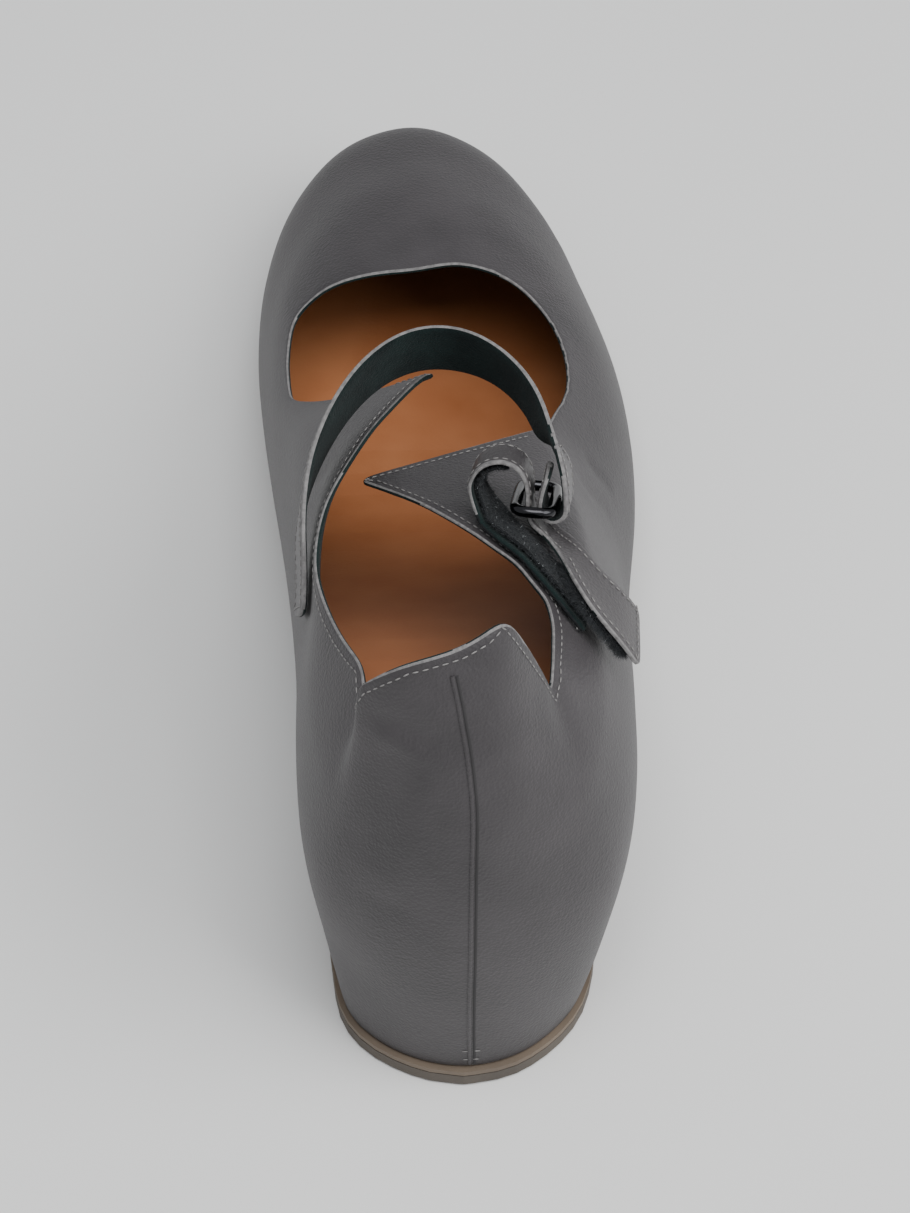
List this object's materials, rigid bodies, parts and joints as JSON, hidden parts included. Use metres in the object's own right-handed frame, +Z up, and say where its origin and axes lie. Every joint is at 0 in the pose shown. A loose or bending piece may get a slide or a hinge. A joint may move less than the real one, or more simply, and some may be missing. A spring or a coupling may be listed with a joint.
{
  "type": "leather bar shoe",
  "caption": "Grey leather flat shoe for the right foot, open at the vamp, with a hoop strap, a metal ring and a hook-and-loop closure on its outer side.",
  "frame": {"origin": "middle of the shoe's bounding box in plan, at the height of the outsole's flat bottom", "axes": "+Y towards the toe, +Z up, +X towards the outer side of the foot"},
  "size_m": [0.0842, 0.2606, 0.1224],
  "materials": {
    "grey leather": "satin",
    "grey rubber": "matte",
    "tan midsole": "matte",
    "tan leather": "satin",
    "gunmetal": "polished",
    "black tape": "matte"
  },
  "bodies": {
    "root": {"outsole": "grey rubber", "midsole": "tan midsole", "insole": "tan leather", "upper": "grey leather", "instep_strap": "grey leather", "ring": "gunmetal", "closure_strap": "grey leather", "pile_tape": "black tape", "hook_tape": "black tape"}
  },
  "joints": []
}
